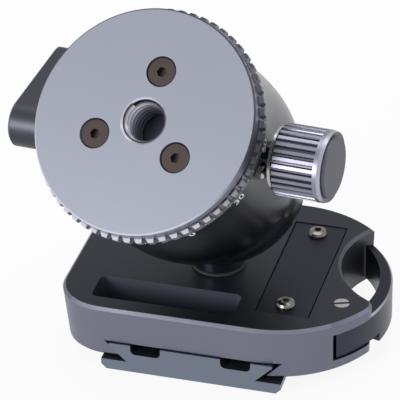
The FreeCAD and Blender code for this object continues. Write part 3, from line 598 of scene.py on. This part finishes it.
def marks_tree():
    """Thin painted marks standing round a circle about Z."""
    tree = bpy.data.node_groups.new("ring_of_marks", "GeometryNodeTree")
    socket(tree, "Count", "INPUT", "NodeSocketInt", 12)
    socket(tree, "Radius", "INPUT", default=0.02)
    socket(tree, "Mark Size", "INPUT", "NodeSocketVector", (0.0001, 0.0002, 0.001))
    socket(tree, "Material", "INPUT", "NodeSocketMaterial")
    socket(tree, "Geometry", "OUTPUT", "NodeSocketGeometry")
    add, link = tree.nodes.new, tree.links.new
    given, out = add("NodeGroupInput"), add("NodeGroupOutput")
    circle = add("GeometryNodeCurvePrimitiveCircle")
    link(given.outputs["Count"], circle.inputs["Resolution"])
    link(given.outputs["Radius"], circle.inputs["Radius"])
    points = add("GeometryNodeCurveToPoints")
    points.mode = "EVALUATED"
    link(circle.outputs["Curve"], points.inputs["Curve"])
    mark = add("GeometryNodeMeshCube")
    link(given.outputs["Mark Size"], mark.inputs["Size"])
    where = add("GeometryNodeInputPosition")
    outward = add("FunctionNodeAlignRotationToVector")
    outward.axis = "X"
    outward.pivot_axis = "Z"
    link(where.outputs["Position"], outward.inputs["Vector"])
    place = add("GeometryNodeInstanceOnPoints")
    link(points.outputs["Points"], place.inputs["Points"])
    link(mark.outputs["Mesh"], place.inputs["Instance"])
    link(outward.outputs["Rotation"], place.inputs["Rotation"])
    whole = add("GeometryNodeRealizeInstances")
    link(place.outputs["Instances"], whole.inputs["Geometry"])
    skin = add("GeometryNodeSetMaterial")
    link(whole.outputs["Geometry"], skin.inputs["Geometry"])
    link(given.outputs["Material"], skin.inputs["Material"])
    link(skin.outputs["Geometry"], out.inputs["Geometry"])
    return tree


def grown(name, tree, values, place, smooth=True):
    """Runs a geometry tree once, keeps its result as a plain mesh and sets it in place."""
    carrier = bpy.data.objects.new(name + "_tree", bpy.data.meshes.new(name + "_tree"))
    bpy.context.scene.collection.objects.link(carrier)
    modifier = carrier.modifiers.new("grow", "NODES")
    modifier.node_group = tree
    for item in tree.interface.items_tree:
        if item.in_out == "INPUT" and item.name in values:
            modifier[item.identifier] = values[item.name]
    graph = bpy.context.evaluated_depsgraph_get()
    graph.update()
    mesh = bpy.data.meshes.new_from_object(carrier.evaluated_get(graph), depsgraph=graph)
    bpy.data.objects.remove(carrier)
    mesh.name = name
    mesh.transform(place)
    for face in mesh.polygons:
        face.use_smooth = smooth
    piece = bpy.data.objects.new(name, mesh)
    bpy.context.scene.collection.objects.link(piece)
    return piece


def tree_named(name, make):
    return bpy.data.node_groups.get(name) or make()


# Operators, one for each group of pieces

class BALLHEAD_OT_finishes(bpy.types.Operator):
    """Make every finish and give each machined part its own"""
    bl_idname = "ball_head.finishes"
    bl_label = "Finishes"

    def execute(self, context):
        grain_group()
        facing_group()
        radius_group()
        make_finishes()
        for node, finish in NODE_FINISH.items():
            paint(frame["nodes"][node], finish)
        return {"FINISHED"}


class BALLHEAD_OT_threads(bpy.types.Operator):
    """Cut the ridges of the tripod hole and of the camera screw"""
    bl_idname = "ball_head.threads"
    bl_label = "Threads"

    def execute(self, context):
        sizes = context.scene.ball_head_threads
        tree = tree_named("wound_wire", coil_tree)
        hole = grown("tripod_thread", tree, {
            "Coil Radius": sizes.tripod_radius,
            "Turns": sizes.tripod_length / sizes.tripod_pitch,
            "Height": sizes.tripod_length,
            "Wire Radius": sizes.tripod_depth,
            "Wire Sides": 4,
            "Points per Turn": 64,
            "Material": bpy.data.materials["cut_thread"],
        }, on_head(HOLE_MOUTH - sizes.tripod_length / MM), smooth=False)
        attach(hole, "base")
        screw = grown("camera_screw_thread", tree, {
            "Coil Radius": sizes.camera_radius,
            "Turns": SHANK_LENGTH / sizes.camera_pitch,
            "Height": SHANK_LENGTH,
            "Wire Radius": sizes.camera_depth,
            "Wire Sides": 4,
            "Points per Turn": 48,
            "Material": bpy.data.materials["stainless_steel"],
        }, Matrix.Translation((0.0, 0.0, SHANK_FOOT)), smooth=False)
        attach(screw, "camera_screw")
        return {"FINISHED"}


class BALLHEAD_OT_springs(bpy.types.Operator):
    """Wind the two jaw springs and the spring behind the pressure cup"""
    bl_idname = "ball_head.springs"
    bl_label = "Springs"

    def execute(self, context):
        sizes = context.scene.ball_head_springs
        tree = tree_named("wound_wire", coil_tree)
        wire_finish = bpy.data.materials["spring_steel"]
        for number in (1, 2):
            node = "jaw_spring_%d" % number
            low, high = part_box(node)
            middle = (low + high) / 2
            foot = Vector((low.x + sizes.jaw_wire, middle.y, middle.z))
            run = high.x - low.x - 2 * sizes.jaw_wire
            coil = grown(node + "_coil", tree, {
                "Coil Radius": sizes.jaw_radius,
                "Turns": sizes.jaw_turns,
                "Height": run,
                "Wire Radius": sizes.jaw_wire,
                "Wire Sides": 8,
                "Points per Turn": 24,
                "Material": wire_finish,
            }, placed(foot, Vector((1, 0, 0)), Vector((0, 1, 0))))
            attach(coil, "clamp")
            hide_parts(node)
            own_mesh(coil)
        run = (CUP_SPRING_TO - CUP_SPRING_FROM) * MM - 2 * sizes.cup_wire
        coil = grown("cup_spring_coil", tree, {
            "Coil Radius": sizes.cup_radius,
            "Turns": sizes.cup_turns,
            "Height": run,
            "Wire Radius": sizes.cup_wire,
            "Wire Sides": 8,
            "Points per Turn": 28,
            "Material": wire_finish,
        }, on_head(CUP_SPRING_FROM + sizes.cup_wire / MM))
        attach(coil, "head")
        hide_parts("cup_spring")
        return {"FINISHED"}


class BALLHEAD_OT_scale(bpy.types.Operator):
    """Paint the marks round the panning scale"""
    bl_idname = "ball_head.scale"
    bl_label = "Scale marks"

    def execute(self, context):
        sizes = context.scene.ball_head_scale
        tree = tree_named("ring_of_marks", marks_tree)
        sets = (("fine_marks", sizes.fine_count, sizes.fine_length, FINE_MARKS_AT),
                ("long_marks", sizes.long_count, sizes.long_length, LONG_MARKS_AT))
        for name, count, long, along in sets:
            marks = grown(name, tree, {
                "Count": count,
                "Radius": sizes.radius,
                "Mark Size": (MARK_THICKNESS, sizes.width, long),
                "Material": bpy.data.materials["dial_paint"],
            }, on_head(along), smooth=False)
            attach(marks, "base")
        return {"FINISHED"}


class BALLHEAD_OT_numbers(bpy.types.Operator):
    """Print the numbers of the dial on the housing"""
    bl_idname = "ball_head.numbers"
    bl_label = "Dial numbers"

    def execute(self, context):
        sizes = context.scene.ball_head_scale
        joined = bmesh.new()
        for number in range(0, 360, NUMBER_STEP):
            letters = bpy.data.curves.new("number", "FONT")
            letters.body = str(number)
            letters.size = sizes.digit_height * FONT_PER_DIGIT
            letters.align_x = "CENTER"
            letters.align_y = "CENTER"
            letters.extrude = DIGIT_THICKNESS
            letters.offset = DIGIT_SWELL
            letters.resolution_u = 3
            label = bpy.data.objects.new("number", letters)
            context.scene.collection.objects.link(label)
            graph = context.evaluated_depsgraph_get()
            graph.update()
            mesh = bpy.data.meshes.new_from_object(label.evaluated_get(graph), depsgraph=graph)
            turn = sizes.number_turn + math.radians(number)
            out = HEAD_ACROSS * math.cos(turn) + HEAD_ROUND * math.sin(turn)
            centre = BALL_CENTRE + out * sizes.digit_radius + HEAD_ALONG * NUMBERS_AT * MM
            mesh.transform(placed(centre, out, HEAD_ALONG.cross(out)))
            joined.from_mesh(mesh)
            bpy.data.objects.remove(label)
        result = bpy.data.meshes.new("dial_numbers")
        joined.to_mesh(result)
        joined.free()
        piece = bpy.data.objects.new("dial_numbers", result)
        context.scene.collection.objects.link(piece)
        paint(piece, "dial_paint")
        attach(piece, "head")
        return {"FINISHED"}


class BALLHEAD_OT_stage(bpy.types.Operator):
    """Lay the floor, hang the lights and set the camera"""
    bl_idname = "ball_head.stage"
    bl_label = "Stage"

    def seen_direct(self, nodes, link):
        """1 for what the camera sees, by itself or in metal and glass."""
        path = nodes.new("ShaderNodeLightPath")
        mask = path.outputs["Is Camera Ray"]
        for ray in ("Is Glossy Ray", "Is Transmission Ray"):
            either = nodes.new("ShaderNodeMath")
            either.operation = "MAXIMUM"
            link(mask, either.inputs[0])
            link(path.outputs[ray], either.inputs[1])
            mask = either.outputs[0]
        return mask

    def floor(self, context, tint):
        mesh = bpy.data.meshes.new("floor")
        r = FLOOR_REACH
        mesh.from_pydata([(-r, -r, 0), (r, -r, 0), (r, r, 0), (-r, r, 0)], [], [(0, 1, 2, 3)])
        mesh.transform(Matrix.Translation((0, 0, CAD_BOX[0][2] - FLOOR_GAP)))
        floor = bpy.data.objects.new("floor", mesh)
        context.scene.collection.objects.link(floor)
        material = bpy.data.materials.new("pale_floor")
        material.use_nodes = True
        nodes, link = material.node_tree.nodes, material.node_tree.links.new
        shader = nodes["Principled BSDF"]
        shader.inputs["Base Color"].default_value = (*tint.floor, 1.0)
        shader.inputs["Roughness"].default_value = 0.9
        glow = nodes.new("ShaderNodeEmission")
        share = nodes.new("ShaderNodeMath")
        share.operation = "MULTIPLY"
        share.inputs[1].default_value = FLOOR_GLOW
        link(self.seen_direct(nodes, link), share.inputs[0])
        mix = nodes.new("ShaderNodeMixShader")
        link(share.outputs[0], mix.inputs["Fac"])
        link(shader.outputs["BSDF"], mix.inputs[1])
        link(glow.outputs["Emission"], mix.inputs[2])
        link(mix.outputs["Shader"], nodes["Material Output"].inputs["Surface"])
        mesh.materials.append(material)

    def lamp(self, context, name, place, size, power):
        data = bpy.data.lights.new(name, "AREA")
        data.shape = "RECTANGLE"
        data.size, data.size_y = size
        data.energy = power
        lamp = bpy.data.objects.new(name, data)
        lamp.location = place
        lamp.rotation_euler = (Vector(place) - LAMP_TARGET).to_track_quat("Z", "Y").to_euler()
        context.scene.collection.objects.link(lamp)

    def execute(self, context):
        scene = context.scene
        stage = scene.ball_head_stage
        self.floor(context, scene.ball_head_colours)

        world = bpy.data.worlds.new("pale_room")
        scene.world = world
        world.use_nodes = True
        nodes, link = world.node_tree.nodes, world.node_tree.links.new
        nodes["Background"].inputs["Color"].default_value = (0.95, 0.97, 1.0, 1.0)
        nodes["Background"].inputs["Strength"].default_value = stage.sky
        white = nodes.new("ShaderNodeBackground")
        mix = nodes.new("ShaderNodeMixShader")
        link(self.seen_direct(nodes, link), mix.inputs["Fac"])
        link(nodes["Background"].outputs["Background"], mix.inputs[1])
        link(white.outputs["Background"], mix.inputs[2])
        link(mix.outputs["Shader"], nodes["World Output"].inputs["Surface"])

        self.lamp(context, "key_light", (-0.06, 0.14, 0.62), (0.5, 0.3), stage.key_power)
        self.lamp(context, "front_light", (-0.24, -0.42, 0.17), (0.20, 0.20), stage.front_power)
        self.lamp(context, "side_light", (0.50, 0.20, 0.40), (0.45, 0.40), stage.side_power)

        azimuth, elevation = stage.azimuth, stage.elevation
        back = Vector((math.sin(azimuth) * math.cos(elevation), -math.cos(azimuth) * math.cos(elevation),
                       math.sin(elevation)))
        right = Vector((0, 0, 1)).cross(back).normalized()
        up = back.cross(right)
        rolled = right * math.cos(stage.roll) + up * math.sin(stage.roll)
        data = bpy.data.cameras.new("camera")
        data.lens = stage.lens_mm
        data.sensor_width = SENSOR_MM
        data.clip_start = 0.05
        camera = bpy.data.objects.new("camera", data)
        camera.matrix_world = placed(Vector(stage.target) + back * stage.distance, back, rolled)
        scene.collection.objects.link(camera)
        scene.camera = camera
        scene.view_settings.view_transform = "Standard"
        return {"FINISHED"}


class BALLHEAD_PT_panel(bpy.types.Panel):
    """Sizes, colours and steps of the ball head"""
    bl_idname = "BALLHEAD_PT_panel"
    bl_label = "Ball head"
    bl_space_type = "VIEW_3D"
    bl_region_type = "UI"
    bl_category = "Ball head"

    def draw(self, context):
        for name, label in GROUPS:
            box = self.layout.box()
            box.label(text=label)
            settings = getattr(context.scene, name)
            for prop in settings.bl_rna.properties:
                if prop.identifier not in ("name", "rna_type"):
                    box.prop(settings, prop.identifier)
        for operator in OPERATORS:
            self.layout.operator(operator.bl_idname)


GROUPS = (("ball_head_colours", "Colours"), ("ball_head_threads", "Threads"),
          ("ball_head_springs", "Springs"), ("ball_head_scale", "Scale"), ("ball_head_stage", "Stage"))
OPERATORS = (BALLHEAD_OT_finishes, BALLHEAD_OT_threads, BALLHEAD_OT_springs, BALLHEAD_OT_scale,
             BALLHEAD_OT_numbers, BALLHEAD_OT_stage)
SETTINGS = (BallHeadColours, BallHeadThreads, BallHeadSprings, BallHeadScale, BallHeadStage)


def register():
    for kind in SETTINGS + OPERATORS + (BALLHEAD_PT_panel,):
        bpy.utils.register_class(kind)
    for (name, label), kind in zip(GROUPS, SETTINGS):
        setattr(bpy.types.Scene, name, bpy.props.PointerProperty(type=kind))


def unregister():
    for name, label in GROUPS:
        delattr(bpy.types.Scene, name)
    for kind in reversed(SETTINGS + OPERATORS + (BALLHEAD_PT_panel,)):
        bpy.utils.unregister_class(kind)


def main():
    register()
    bpy.ops.ball_head.finishes()
    bpy.ops.ball_head.threads()
    bpy.ops.ball_head.springs()
    bpy.ops.ball_head.scale()
    bpy.ops.ball_head.numbers()
    bpy.ops.ball_head.stage()


if __name__ == "__main__":
    main()
